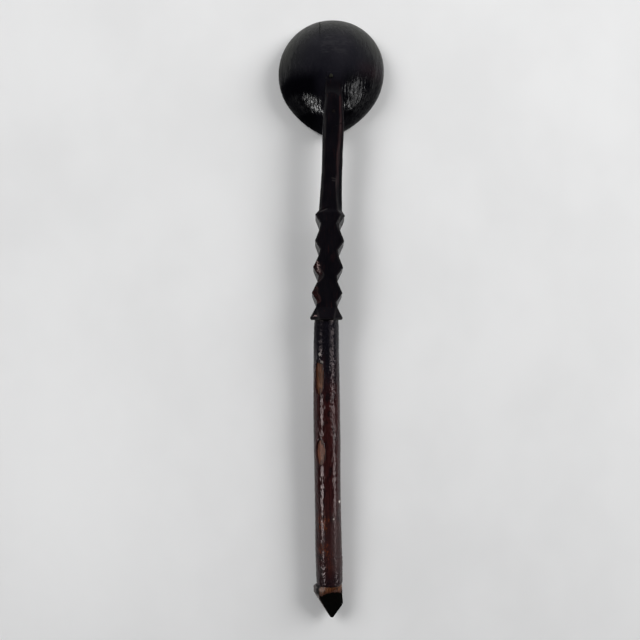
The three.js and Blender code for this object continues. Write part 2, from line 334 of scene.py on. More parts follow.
# Hollows of the hand-worked back and dents inside: depth, grain and seed
BACK_HOLLOWS = [(0.25, (17, 23, 17), 1), (0.15, (6, 11, 6), 2)]
INSIDE_DENTS = [(0.2, (9, 12, 9), 3), (0.1, (4, 5, 4), 4)]


def bowl_shape():
    """Outer and inner surface of the bowl, joined by a rounded rim."""
    last = 1 - 2 / math.pi * math.asin((RIM_HEIGHT / BOWL_DEPTH) ** (DOME_POWER / 2))
    outer = bowl_rings(np.linspace(APEX, last, BACK_RINGS), 0)
    inner = bowl_rings(np.linspace(last, APEX, INSIDE_RINGS), -BOWL_WALL)
    sink = 0.6 + layers(outer.reshape(-1, 3), BACK_HOLLOWS)
    centre = np.array([0, BOWL_MIDDLE, 0])
    inward = (centre - outer) / np.linalg.norm(centre - outer, axis=2, keepdims=True)
    outer = outer + inward * (BOWL_UNEVEN * sink).reshape(outer.shape[:2])[:, :, None]
    dents = layers(inner.reshape(-1, 3), INSIDE_DENTS)
    inner[:, :, 2] += dents.reshape(inner.shape[:2])
    inner[:, :, 2] = np.maximum(inner[:, :, 2], RIM_HEIGHT)
    turn = np.linspace(0, math.pi, RIM_RINGS)[1:-1, None, None]
    rim = mix(outer[-1], inner[0], (1 - np.cos(turn)) / 2)
    rim[:, :, 2] *= 1 - np.sin(turn[:, :, 0]) ** 0.5
    return skin(np.concatenate([outer, rim, inner]))


# The neck

# Half widths from the middle line at places along Y
ARM_OUTLINE = [(STRAP_END, 5.1), (NEAR_RIM, 7.75), (105.6, 7.4), (77.7, 8.4)]
SKIRT_OUTLINE = [(-0.1, 11.9), (-1.0, 11.8), (SKIRT, 10.9)]

# Half widths of each tooth at its peak, left and right, and of the notch below it
TEETH = [
    (10.95, 10.65, 7.4, 7.3),
    (10.4, 10.8, 7.2, 7.4),
    (11.0, 10.8, 7.4, 7.1),
    (11.2, 11.0, 7.7, 7.9),
]
FIRST_PEAK = 73.65
TOOTH_PITCH = 18.88
NOTCH_BELOW = 9.33  # from a peak to the notch below it
TOOTH_LAND = 2.7
RIGHT_LAG = 0.5  # how much lower the right side's peaks lie

# Width of the slope under a tooth's top edge, by distance below the peak
FLANK_SLOPE = [(-0.9, 0.0), (0.6, 1.2), (5.0, 2.5), (8.9, 0.15), (9.5, 0.0)]

# Trims of the long edges at the left and right of the face and on the underside
LEFT_BEVELS = [(STRAP_END, 1.0), (NEAR_RIM, 1.7), (80.0, 1.8), (76.5, 0.4)]
RIGHT_BEVELS = [
    (STRAP_END, 1.2),
    (NEAR_RIM, 2.7),
    (118.0, 4.1),
    (92.0, 4.3),
    (78.0, 3.1),
    (70.0, 2.4),
    (62.0, 0.5),
]
UNDER_BEVELS = [(NEAR_RIM, 3.2), (80.0, 3.2), (74.0, 0.7)]
SKIRT_BEVEL = 6.2
SKIRT_FLARE_START = 7.5
SKIRT_SINK_START = -0.9
ARM_BEVEL_TILT = 0.8  # depth of the arm's right trim, as a share of its width

# Where the arm begins, as places along Y from the teeth's form to the arm's
ARM_START = (76, 79)
ARM_BEVEL_START = (76, 90)
UNEVEN_LEFT_START, UNEVEN_RIGHT_START = 80, 66

# How far hand work strays from a straight line
SIDE_UNEVEN, LEFT_BEVEL_UNEVEN, RIGHT_BEVEL_UNEVEN = 0.12, 0.25, 0.3

# Worn lens-shaped trims at the left of two teeth: place along Y, half length and depth
WORN_TRIMS = [(33.8, 8.2, 4.0), (16.6, 6.6, 3.4)]

# Rings of the neck, points on each rounded corner of its section, and more between them
NECK_RINGS = 530
ARC_POINTS = 4
SIDE_SPLITS = [16, 5, 9, 3, 12, 3, 9, 3]


def rounded(corners, softness):
    """Closed outlines through corners (rings, corners, 2), split along their sides."""
    ahead = np.roll(corners, -1, axis=1) - corners
    length = np.linalg.norm(ahead, axis=2, keepdims=True)
    ahead = ahead / length
    behind = np.roll(ahead, 1, axis=1)
    reach = np.minimum(softness, 0.45 * np.minimum(length, np.roll(length, 1, axis=1)))
    start = corners - behind * reach
    end = corners + ahead * reach
    columns = []
    for k, splits in enumerate(SIDE_SPLITS):
        for t in np.linspace(0, 1, ARC_POINTS):
            bend = mix(start[:, k], corners[:, k], t)
            columns.append(mix(bend, mix(corners[:, k], end[:, k], t), t))
        following = start[:, (k + 1) % len(SIDE_SPLITS)]
        for t in np.linspace(0, 1, splits + 2)[1:-1]:
            columns.append(mix(end[:, k], following, t))
    return np.stack(columns, axis=1)


def lens(y, place, half_length, depth):
    """A lens-shaped trim's depth along Y, 0 beyond its ends."""
    return depth * np.clip(1 - ((y - place) / half_length) ** 2, 0, 1) ** 0.8


def along(pairs, y):
    """Straight stretches through (place, value) pairs, a little softened at their corners."""
    x, value = np.array(sorted(pairs), float).T
    offsets = np.array([-0.45, -0.15, 0.15, 0.45])
    return np.mean([np.interp(y + offset, x, value) for offset in offsets], axis=0)


def side_outline(side):
    """Half widths along Y of one side of the neck, 0 for the left and 1 for the right."""
    pairs = list(ARM_OUTLINE)
    for k, widths in enumerate(TEETH):
        peak = FIRST_PEAK - k * TOOTH_PITCH - side * RIGHT_LAG
        pairs.append((peak + TOOTH_LAND / 2, widths[side]))
        pairs.append((peak - TOOTH_LAND / 2, widths[side]))
        pairs.append((peak - NOTCH_BELOW, widths[2 + side]))
    return pairs + SKIRT_OUTLINE


def flank_slope(y, side):
    """How much narrower the top is than the bottom, on the teeth's lower flanks."""
    below, width = np.array(FLANK_SLOPE).T
    total = 0
    for k in range(len(TEETH)):
        total = total + np.interp(FIRST_PEAK - k * TOOTH_PITCH - side * RIGHT_LAG - y, below, width)
    return total


def neck_section(y):
    """Corners of the neck's section round its middle line, at places along Y: (places, 8, 2)."""
    line = np.stack([0 * y, y, 0 * y], axis=1)
    flare = np.clip((SKIRT_FLARE_START - y) / SKIRT_FLARE_START, 0, 1)
    left = along(side_outline(0), y) + SIDE_UNEVEN * lumps(line, (1, 9, 1), 5)
    right = along(side_outline(1), y) + SIDE_UNEVEN * lumps(line, (1, 8, 1), 6)
    left_slope, right_slope = flank_slope(y, 0), flank_slope(y, 1)
    depth = mix(mix(TOOTH_DEPTH, ARM_DEPTH, ease(y, *ARM_START)), SKIRT_DEPTH, flare)
    depth = depth - SKIRT_SINK * ease(y, SKIRT_SINK_START, SKIRT)
    left_uneven = LEFT_BEVEL_UNEVEN * lumps(line, (1, 13, 1), 7) * (y > UNEVEN_LEFT_START)
    right_uneven = RIGHT_BEVEL_UNEVEN * lumps(line, (1, 11, 1), 8) * (y > UNEVEN_RIGHT_START)
    left_bevel = along(LEFT_BEVELS, y) + left_uneven
    right_bevel = along(RIGHT_BEVELS, y) + right_uneven
    under = along(UNDER_BEVELS, y)
    for place, half_length, deep in WORN_TRIMS:
        left_bevel = left_bevel + lens(y, place, half_length, deep)
    left_bevel, right_bevel, under = (
        mix(bevel, SKIRT_BEVEL, flare) for bevel in (left_bevel, right_bevel, under)
    )
    right_drop = right_bevel * mix(1.0, ARM_BEVEL_TILT, ease(y, *ARM_BEVEL_START))
    half = depth / 2
    corners = np.array(
        [
            [-left + left_slope + left_bevel, half],
            [right - right_slope - right_bevel, half],
            [right - right_slope, half - right_drop],
            [right, -half + under],
            [right - under, -half],
            [-left + under, -half],
            [-left, -half + under],
            [-left + left_slope, half - left_bevel],
        ]
    )
    return corners.transpose(2, 0, 1)


def neck_shape():
    """The arm on the bowl's back, the teeth and the skirt with its socket."""
    y = np.linspace(STRAP_END, SKIRT, NECK_RINGS)
    outline = rounded(neck_section(y), EDGE_SOFTNESS)
    rings = np.stack(
        [
            middle_x(y)[:, None] + outline[:, :, 0],
            np.broadcast_to(y[:, None], outline.shape[:2]),
            middle_z(y)[:, None] + outline[:, :, 1],
        ],
        axis=2,
    )
    rings = carve(rings)
    rings = seat_on_bowl(rings)
    return skin(np.concatenate([rings, socket_rings(rings[-1])]))


# Knife strokes: depth, grain and seed
KNIFE_STROKES = [(0.14, (3.4, 26, 3.4), 9), (0.07, (1.6, 9, 1.6), 10), (0.05, (2.2, 2.6, 2.2), 11)]

# The slanted step above the first tooth: its place along Y at STEP_LEFT from the middle line
STEP_PLACE, STEP_LEFT = 77.6, 8
STEP_SLANT = 0.42
STEP_DEPTH = 0.55
STEP_SOFTNESS = 0.25


def carve(rings):
    """Adds the knife's long flat strokes and the step above the first tooth."""
    flat = rings.reshape(-1, 3).copy()
    x, y, z = flat.T
    sideways = x - middle_x(y)
    out = np.stack([sideways, 0 * y, z - middle_z(y)], axis=1)
    out /= np.linalg.norm(out, axis=1, keepdims=True)
    strokes = layers(flat, KNIFE_STROKES)
    flat += out * strokes[:, None]
    sideways = x - middle_x(y)
    step_line = STEP_PLACE + STEP_SLANT * (sideways + STEP_LEFT)
    below = ease(y, step_line + STEP_SOFTNESS, step_line - STEP_SOFTNESS) * ease(y, 64, 72)
    on_face = ease(z - middle_z(y), 5.2, 6.4)
    flat[:, 2] -= STEP_DEPTH * below * on_face * ease(sideways, 1.5, -3.5)
    return flat.reshape(rings.shape)


def seat_on_bowl(rings):
    """Lays the arm on the bowl's back and fades its end into it."""
    x, y, z = (rings[:, :, k] for k in range(3))
    back = dome(x, y)
    strap = STRAP_END_THICKNESS + np.maximum(STRAP_END - STRAP_FADE - y, 0) ** 2 * STRAP_RISE
    z = soft_least(z, np.where(back > 0, back + STRAP_GAP + strap, FAR_AWAY), STRAP_BLEND)
    z = np.maximum(z, back + STRAP_GAP)
    return np.stack([x, y, z], axis=2)


def socket_rings(edge):
    """The skirt's underside, the recess for the bark and the socket for the tenon."""
    out = edge - np.array([middle_x(SKIRT), SKIRT, middle_z(SKIRT)])
    out[:, 1] = 0
    out /= np.linalg.norm(out, axis=1, keepdims=True)
    rings = [edge - out * EDGE_SOFTNESS]
    recess, socket = GRIP_TOP_RADIUS + SEAT_GAP, TENON_RADIUS + SEAT_GAP
    floor, end = SKIRT + RECESS, TENON_END + SEAT_GAP
    for y, radius in ((SKIRT, recess), (floor, recess), (floor, socket), (end, socket)):
        rings.append(np.array([middle_x(y), y, middle_z(y)]) + out * radius)
    return np.stack(rings)


# The grip


def grip_radius(y):
    pairs = [
        (SKIRT, GRIP_TOP_RADIUS),
        (GRIP_SWELL, GRIP_SWELL_RADIUS),
        (GRIP_MIDDLE, GRIP_MIDDLE_RADIUS),
        (LIP, GRIP_LIP_RADIUS),
    ]
    return smooth(pairs, y)


def around_middle(y, turn, radius):
    """Points round the handle's middle line. Turn is 0 at the top and grows to the left."""
    x = middle_x(y) - np.sin(turn) * radius
    z = middle_z(y) + np.cos(turn) * radius
    return np.stack(np.broadcast_arrays(x, y, z), axis=-1)


# Swells, ribs and beads of the bark: depth, grain and seed
BARK_RELIEF = [
    (0.16, (7, 17, 7), 12),
    (0.13, (2.6, 24, 2.6), 13),
    (0.1, (1.3, 1.8, 1.3), 14),
    (0.05, (0.8, 1.1, 0.8), 15),
]

# The nick in the right side, and how far the bark is drawn in above it
NICK_PLACE = -178.0
NICK_DEPTH = 0.3
NICK_HALF_WIDTH = 0.9
NICK_SHRINK, NICK_SHRINK_LENGTH = 0.15, 30

# Windows worn through the bark: place along Y, turn in degrees, half length, half width
WINDOWS = [(-44.4, 37, 12.2, 4.0), (-98.6, 33, 9.3, 3.9)]
WINDOW_CURL = 0.3  # how far the bark curls up along their far edges

# Rings of a window's cutter: height over the bark's middle and size as a share of the window's
WINDOW_RINGS = [(-2.2, 0.86), (-0.4, 1.0), (1.5, 1.22)]
WINDOW_POINTS = 90


def window_reach(y, turn, window):
    """Distance from a window's middle, 1 on its edge."""
    place, middle, half_length, half_width = window
    sideways = (turn - math.radians(middle)) * grip_radius(y) / half_width
    return np.sqrt(((y - place) / half_length) ** 2 + sideways**2)


def window_cutter(place, turn, half_length, half_width, seed):
    """A ragged oval that passes through the bark, wider outside than inside."""
    spin = full_turn(WINDOW_POINTS)
    edge = np.stack([np.cos(spin) * 3, np.sin(spin) * 5, 0 * spin], axis=1)
    wobble = 1 + layers(edge, [(0.14, (1.6, 1.6, 1.6), seed), (0.06, (0.5, 0.5, 0.5), seed + 1)])
    rings = []
    for lift, spread in WINDOW_RINGS:
        y = place + np.sin(spin) * half_length * wobble * spread
        radius = grip_radius(y)
        bend = math.radians(turn) + np.cos(spin) * half_width * wobble * spread / radius
        rings.append(around_middle(y, bend, radius - BARK / 2 + lift))
    return skin(np.stack(rings))


SLEEVE_AROUND, SLEEVE_RINGS, SLEEVE_INSIDE_RINGS = 190, 440, 60
LIP_WAVE, LIP_RIPPLE = 0.9, 0.35
SNUG_LIP, SNUG_TOP = (LIP + 22, LIP + 6), (SKIRT - 6, SKIRT - 1)

# How deep the bark lies under its round form, away from its ends and at them
RELIEF_USUAL = (0.02, 0.34)
RELIEF_LEAST = (-0.45, 0.02)


def sleeve_shape():
    """The bark as a tube with a wavy lip."""
    turn = full_turn(SLEEVE_AROUND)
    share = np.linspace(0, 1, SLEEVE_RINGS)[:, None]
    lip = LIP + LIP_WAVE - LIP_WAVE * np.cos(turn - 0.5) + LIP_RIPPLE * np.sin(3 * turn + 1)
    lip = np.maximum(lip, LIP + 0.05)
    y = mix(BARK_TOP, lip, share)
    outer = around_middle(y, turn, grip_radius(y))
    snug = np.maximum(ease(y, *SNUG_LIP), ease(y, *SNUG_TOP))
    relief = mix(*RELIEF_USUAL, snug) + layers(outer.reshape(-1, 3), BARK_RELIEF).reshape(y.shape)
    shrink = NICK_SHRINK * ease(y, NICK_PLACE + NICK_SHRINK_LENGTH, NICK_PLACE) * (y > NICK_PLACE)
    nick = NICK_DEPTH * hill(y, NICK_PLACE, NICK_HALF_WIDTH)
    relief += (shrink + nick) * ease(np.sin(turn), -0.3, -0.8)
    for window in WINDOWS:
        curl = hill(window_reach(y, turn, window), 1.2, 0.13)
        relief -= WINDOW_CURL * curl * ease(y, window[0], window[0] + window[2])
    relief = np.maximum(relief, mix(*RELIEF_LEAST, snug))
    relief += 0.25 * ease(y, lip + 1.0, lip) + 0.2 * ease(y, BARK_TOP - 0.6, BARK_TOP)
    outer = around_middle(y, turn, grip_radius(y) - relief)
    inner_y = mix(lip, BARK_TOP, np.linspace(0, 1, SLEEVE_INSIDE_RINGS)[:, None])
    inner = around_middle(inner_y, turn, grip_radius(inner_y) - BARK)
    return skin(np.concatenate([outer, inner]), looped=True)


CORE_AROUND, SHAFT_RINGS, POINT_RINGS = 210, 380, 150
TENON_CHAMFER = 0.4
CORE_SINK = 0.12
FACET_SOFTNESS = 0.22

# Fibres on the shaft and chips on the point: depth, grain and seed
SHAFT_FIBRES = [(0.1, (0.7, 9, 0.7), 20), (0.06, (0.35, 5, 0.35), 21)]
POINT_CHIPS = [(0.1, (2.5, 3.2, 2.5), 22)]


def core_shape():
    """The stick: a tenon, a shaft under the bark, and a bare end whittled to a point."""
    turn = full_turn(CORE_AROUND)
    tenon_y = np.array([TENON_END, TENON_END - TENON_CHAMFER, BARK_TOP + 0.2, BARK_TOP])[:, None]
    tenon_radius = TENON_RADIUS - np.array([TENON_CHAMFER, 0, 0, 0])[:, None]
    tenon = around_middle(tenon_y, turn, tenon_radius)
    bare = LIP - CORE_GAP
    shaft_y = np.linspace(BARK_TOP, bare, SHAFT_RINGS)[:-1]
    y = np.concatenate([shaft_y, np.linspace(bare, TIP, POINT_RINGS)])[:, None]
    shaft_radius = grip_radius(y) - BARK - CORE_GAP
    flat = around_middle(y, turn, shaft_radius).reshape(-1, 3)
    on_point = ease(flat[:, 1], bare + 1, bare - 2)
    rough = mix(layers(flat, SHAFT_FIBRES), layers(flat, POINT_CHIPS), on_point)
    rough = rough.reshape(len(y), CORE_AROUND)
    share = ease(y, bare, bare - POINT_SWELL)
    across = mix(shaft_radius, POINT_RADIUS, share)
    oval = np.sqrt((across * np.cos(turn)) ** 2 + (shaft_radius * np.sin(turn)) ** 2)
    radius = shaft_radius * across / oval + POINT_OFFSET * share * np.sin(turn)
    radius = radius - CORE_SINK + np.minimum(rough, 0.1)
    body = around_middle(y, turn, whittled(radius, y, turn, rough))
    return skin(np.concatenate([tenon, body]))


def whittled(radius, y, turn, rough):
    """The stick's radius after the point's flat cuts, down to its blunt tip."""
    tip_y = TIP + TIP_RADIUS
    for facing, lean in POINT_FACETS:
        facing, lean = math.radians(facing), math.radians(lean)
        toward = np.cos(turn - facing) * math.cos(lean)
        room = TIP_RADIUS + (y - tip_y) * math.sin(lean)
        bend = (middle_x(y) - middle_x(tip_y)) * math.sin(facing)
        reach = (room + bend * math.cos(lean)) / np.maximum(toward, 0.05)
        plane = np.where(toward > 0.05, reach, FAR_AWAY)
        radius = soft_least(radius, plane + 0.5 * rough, FACET_SOFTNESS)
    ball = np.sqrt(np.clip(TIP_RADIUS**2 - np.minimum(y - tip_y, 0) ** 2, 1e-4, None)) * 1.1
    return np.where(y < tip_y, np.minimum(radius, np.maximum(ball, 0.02)), radius)


def soft_least(a, b, softness):
    """The lesser of two values, rounded where they meet."""
    share = np.clip(0.5 + (b - a) / (2 * softness), 0, 1)
    return mix(b, a, share) - softness * share * (1 - share)


# The pegs

PEGS = ("inner", "outer")
PEG_RADIUS = 1.3
PEG_AROUND = 40
PEG_ROOM = 0.12  # between a peg and the side of its hole
PEG_PASS = 8  # how far a hole's cutter runs past both ends of its peg
PEG_UNEVEN = 0.04


def peg_ends(which):
    """Where a peg stands and its lowest and highest point."""
    low, high = node_box(f"bowl_peg_{which}")
    return (low[0] + high[0]) / 2, (low[1] + high[1]) / 2, low[2], high[2]


def level_ring(x, y, height, turn, radius):
    return np.stack([x + radius * np.cos(turn), y + radius * np.sin(turn), 0 * turn + height], axis=1)


def peg_shape(which):
    """An upright whittled peg with domed ends."""
    x, y, low, high = peg_ends(which)
    turn = full_turn(PEG_AROUND)
    whittling = 1 + PEG_UNEVEN * np.cos(3 * turn + 1)
    profile = [(low, 0.55), (low + 0.25, 0.92), (low + 0.7, 1.0), (high - 0.3, 1.0), (high, 0.8)]
    rings = [
        level_ring(x, y, height, turn, PEG_RADIUS * share * whittling) for height, share in profile
    ]
    return skin(np.stack(rings))


def peg_hole(which):
    """The cutter of a peg's hole."""
    x, y, low, high = peg_ends(which)
    turn = full_turn(PEG_AROUND)
    ends = (low - PEG_PASS, high + PEG_PASS)
    return skin(np.stack([level_ring(x, y, end, turn, PEG_RADIUS + PEG_ROOM) for end in ends]))


# Materials

NOISE_INPUTS = ("Scale", "Detail", "Roughness", "Distortion")
SPAN_INPUTS = ("From Min", "From Max", "To Min", "To Max")


def set_inputs(node, names, values):
    for name, value in zip(names, values):
        node.inputs[name].default_value = value


class Paint:
    """A material made of nodes, with short calls for the nodes that it needs."""

    def __init__(self, name):
        self.material = bpy.data.materials.new(name)
        self.material.use_nodes = True
        self.tree = self.material.node_tree
        self.shader = self.tree.nodes["Principled BSDF"]
        self.place = self.node("ShaderNodeTexCoord").outputs["Object"]

    def node(self, kind, **settings):
        made = self.tree.nodes.new(kind)
        for name, value in settings.items():
            setattr(made, name, value)
        return made

    def put(self, socket, value):
        if isinstance(value, bpy.types.NodeSocket):
            self.tree.links.new(value, socket)
        elif isinstance(value, tuple) and len(value) == 3 and socket.type == "RGBA":
            socket.default_value = (*value, 1)
        else:
            socket.default_value = value

    def mask(self, name):
        """A mask that was painted on the piece's points."""
        return self.node("ShaderNodeAttribute", attribute_name=name).outputs["Fac"]

    def noise(self, grain, detail=2.0, rough=0.5, distortion=0.0):
        """Noise with its grain in millimetres along x, y and z."""
        stretch = self.node("ShaderNodeMapping")
        self.put(stretch.inputs["Vector"], self.place)
        stretch.inputs["Scale"].default_value = [1 / (METRES * size) for size in grain]
        made = self.node("ShaderNodeTexNoise")
        self.put(made.inputs["Vector"], stretch.outputs["Vector"])
        set_inputs(made, NOISE_INPUTS, (1, detail, rough, distortion))
        return made.outputs["Fac"]

    def math(self, operation, a, b=0.0):
        made = self.node("ShaderNodeMath", operation=operation)
        self.put(made.inputs[0], a)
        self.put(made.inputs[1], b)
        return made.outputs[0]

    def times(self, a, b):
        return self.math("MULTIPLY", a, b)

    def span(self, value, low, high, to_low=0.0, to_high=1.0):
        """The value's stretch from low to high as one from to_low to to_high."""
        made = self.node("ShaderNodeMapRange", interpolation_type="SMOOTHSTEP")
        set_inputs(made, SPAN_INPUTS, (low, high, to_low, to_high))
        self.put(made.inputs["Value"], value)
        return made.outputs["Result"]

    def blend(self, share, a, b):
        """Colour a where share is 0 and colour b where it is 1."""
        made = self.node("ShaderNodeMix", data_type="RGBA")
        self.put(made.inputs[0], share)
        self.put(made.inputs[6], a)
        self.put(made.inputs[7], b)
        return made.outputs[2]

    def bump(self, height, depth, over=None):
        """A bump of the given depth in millimetres, over an earlier one."""
        made = self.node("ShaderNodeBump")
        made.inputs["Distance"].default_value = depth * METRES
        self.put(made.inputs["Height"], height)
        if over is not None:
            self.put(made.inputs["Normal"], over)
        return made.outputs["Normal"]

    def axis(self, name):
        """One of the place's coordinates, in metres."""
        made = self.node("ShaderNodeSeparateXYZ")
        self.put(made.inputs[0], self.place)
        return made.outputs[name]

    def finish(self, colour, roughness, normal, shine=0.5):
        names = ("Base Color", "Roughness", "Normal", "Specular IOR Level")
        for name, value in zip(names, (colour, roughness, normal, shine)):
            self.put(self.shader.inputs[name], value)
        return self.material


# Colours are linear red, green and blue. Numbers beside an axis are metres along it.

SHELL_DARK, SHELL_PALE = (0.0058, 0.0055, 0.0086), (0.0095, 0.0088, 0.0125)
SHELL_SCUFF = (0.0155, 0.0148, 0.018)
SHELL_WARM_REFLECTION = (0.014, 0.006, 0.0085)
SHELL_RIM_REFLECTION = (0.021, 0.0215, 0.0165)
SHELL_PAINTED_SHADE = (0.0015, 0.0014, 0.0024)
SHELL_CRACK = (0.001, 0.001, 0.001)


def polished_shell():
    p = Paint("polished_shell")
    clouds = p.noise((14, 20, 14), 3, 0.55)
    colour = p.blend(p.span(clouds, 0.35, 0.7), SHELL_DARK, SHELL_PALE)
    marks = p.span(p.noise((7.0, 1.6, 7.0), 2, 0.5, 1.3), 0.44, 0.6)
    colour = p.blend(p.times(p.mask("scuff"), marks), colour, SHELL_SCUFF)
    # Painted reflection: a warm purple-red tint on the back's right side
    colour = p.blend(p.mask("warm_reflection"), colour, SHELL_WARM_REFLECTION)
    # Painted reflection: a pale olive band along the far rim; the same mask also holds a real pale
    # speck
    colour = p.blend(p.mask("rim"), colour, SHELL_RIM_REFLECTION)
    # Painted shade: near black on the back's near side, beside the arm
    colour = p.blend(p.mask("deep"), colour, SHELL_PAINTED_SHADE)
    bend = p.span(p.noise((3, 3, 3)), 0.2, 0.8, 0.0084, 0.0090)
    crack = p.math("ABSOLUTE", p.math("ADD", p.axis("X"), bend))
    crack = p.span(crack, 0.00016, 0.00042, 1.0, 0.0)
    crack = p.times(crack, p.span(p.axis("Y"), 0.200, 0.214))
    colour = p.blend(crack, colour, SHELL_CRACK)
    fibres = p.noise((2.1, 7.5, 2.5), 2, 0.5)
    rough = p.span(p.math("ADD", fibres, p.mask("rim")), 0.3, 1.3, 0.15, 0.42)
    hairs = p.math("SUBTRACT", p.noise((1.2, 6, 1.2), 3, 0.6), 0.5)
    hairs = p.times(hairs, p.span(p.axis("Y"), 0.168, 0.182, 1.0, 0.0))
    shine = p.span(p.math("MAXIMUM", crack, p.mask("dull")), 0, 1, 1.0, 0.0)
    shine = p.times(shine, p.span(hairs, -0.12, 0.12, 0.08, 0.34))
    return p.finish(colour, rough, p.bump(fibres, 0.4), shine)


WOOD_DARK, WOOD_PALE = (0.0019, 0.0016, 0.0028), (0.0035, 0.0028, 0.0043)
WOOD_GRAIN = (0.0125, 0.0042, 0.0046)
WOOD_RED = (0.022, 0.006, 0.007)
WORN_DARK, WORN_PALE = (0.013, 0.0030, 0.0032), (0.055, 0.014, 0.014)
WOOD_PAINTED_GLINT = (0.42, 0.30, 0.29)
WOOD_EDGE_WEAR_AND_SHEEN = (0.05, 0.045, 0.044)
WOOD_SMOKE = (0.0072, 0.0068, 0.010)


def black_wood():
    p = Paint("black_wood")
    grain = p.noise((0.5, 14, 0.5), 4, 0.6, 0.2)
    clouds = p.noise((6, 12, 6), 3, 0.55)
    flecks = p.noise((0.9, 1.6, 0.9), 3, 0.65)
    colour = p.blend(p.span(clouds, 0.3, 0.7), WOOD_DARK, WOOD_PALE)
    colour = p.blend(p.span(grain, 0.56, 0.74), colour, WOOD_GRAIN)
    colour = p.blend(p.times(p.mask("red"), p.span(grain, 0.3, 0.7)), colour, WOOD_RED)
    bare = p.blend(p.span(flecks, 0.52, 0.64), WORN_DARK, WORN_PALE)
    colour = p.blend(p.mask("worn"), colour, bare)
    # Painted highlights: pale sparks where glints are painted
    glint_sparks = p.times(p.mask("painted_glints"), p.span(flecks, 0.49, 0.55))
    colour = p.blend(glint_sparks, colour, WOOD_PAINTED_GLINT)
    # Paler edges: rubbed wear, and painted highlight where edges catch the light
    colour = p.blend(p.mask("edge"), colour, WOOD_EDGE_WEAR_AND_SHEEN)
    colour = p.blend(p.mask("smoke"), colour, WOOD_SMOKE)
    rough = p.span(grain, 0.2, 0.8, 0.26, 0.42)
    normal = p.bump(grain, 0.07)
    normal = p.bump(p.noise((0.9, 1.4, 0.9), 3, 0.6), 0.03, over=normal)
    matte = p.math("MAXIMUM", p.mask("matte"), p.mask("worn"))
    shine = p.times(p.span(matte, 0, 1, 0.21, 0.06), p.span(p.mask("worn"), 0, 1, 1.0, 0.4))
    return p.finish(colour, rough, normal, shine)


BARK_DARK, BARK_RED = (0.0145, 0.0028, 0.0030), (0.033, 0.0078, 0.0076)
BARK_SMUDGE = (0.007, 0.0028, 0.0035)
SOOT_DARK, SOOT_SPECK = (0.0035, 0.0030, 0.0050), (0.014, 0.013, 0.018)
BARK_PAINTED_SHEEN = (0.036, 0.021, 0.021)
BARK_RUB = (0.17, 0.042, 0.009)
BARK_GREY = (0.03, 0.027, 0.027)
BARK_FLECK_GLINT = (0.6, 0.55, 0.5)
BARK_SHINE_TINT = (1.0, 0.84, 0.84)


def red_bark():
    p = Paint("red_bark")
    streaks = p.noise((0.9, 12, 0.9), 4, 0.65, 0.3)
    smudges = p.noise((4, 9, 4), 4, 0.65, 0.4)
    red = p.blend(p.span(streaks, 0.35, 0.65), BARK_DARK, BARK_RED)
    red = p.blend(p.span(smudges, 0.5, 0.66), red, BARK_SMUDGE)
    specks = p.span(p.noise((0.8, 1.1, 0.8), 2, 0.6), 0.54, 0.66)
    soot = p.blend(specks, SOOT_DARK, SOOT_SPECK)
    colour = p.blend(p.mask("black"), red, soot)
    # Painted sheen: a paler greyish tint toward the lip, mostly on the right
    colour = p.blend(p.times(p.mask("sheen_haze"), 0.5), colour, BARK_PAINTED_SHEEN)
    glow = p.times(p.mask("rub"), p.span(p.noise((0.8, 3.0, 0.8), 4, 0.7), 0.46, 0.68))
    colour = p.blend(glow, colour, BARK_RUB)
    colour = p.blend(p.mask("grey"), colour, BARK_GREY)
    # Pale flecks, three of them painted glints
    colour = p.blend(p.mask("flecks_and_glints"), colour, BARK_FLECK_GLINT)
    rough = p.span(p.math("ADD", smudges, p.mask("soot")), 0.3, 1.5, 0.13, 0.26)
    rough = p.math("ADD", rough, p.times(p.mask("sheen_haze"), 0.22))
    swells = p.times(p.noise((2.6, 3.4, 2.6), 2, 0.45), p.span(p.axis("Y"), -0.175, -0.15, 0.4, 1.0))
    normal = p.bump(swells, 0.1)
    beads = p.times(p.noise((1.5, 1.9, 1.5), 2, 0.5), p.span(p.axis("Y"), -0.14, -0.09, 0.3, 1.0))
    normal = p.bump(beads, 0.26, over=normal)
    normal = p.bump(streaks, 0.05, over=normal)
    p.put(p.shader.inputs["Specular Tint"], BARK_SHINE_TINT)
    return p.finish(colour, rough, normal, p.span(p.mask("soot"), 0, 1, 0.2, 0.06))


STICK_DARK, STICK_TAN = (0.014, 0.0045, 0.0022), (0.145, 0.050, 0.017)
STICK_CLOUD = (0.15, 0.062, 0.032)
STICK_FRESH = (0.23, 0.088, 0.056)
STICK_DARKER = (0.03, 0.008, 0.005)
STICK_GLAZE = (0.006, 0.005, 0.005)
STICK_CHAR = (0.0015, 0.0012, 0.001)
STICK_GLEAM = (0.33, 0.30, 0.29)


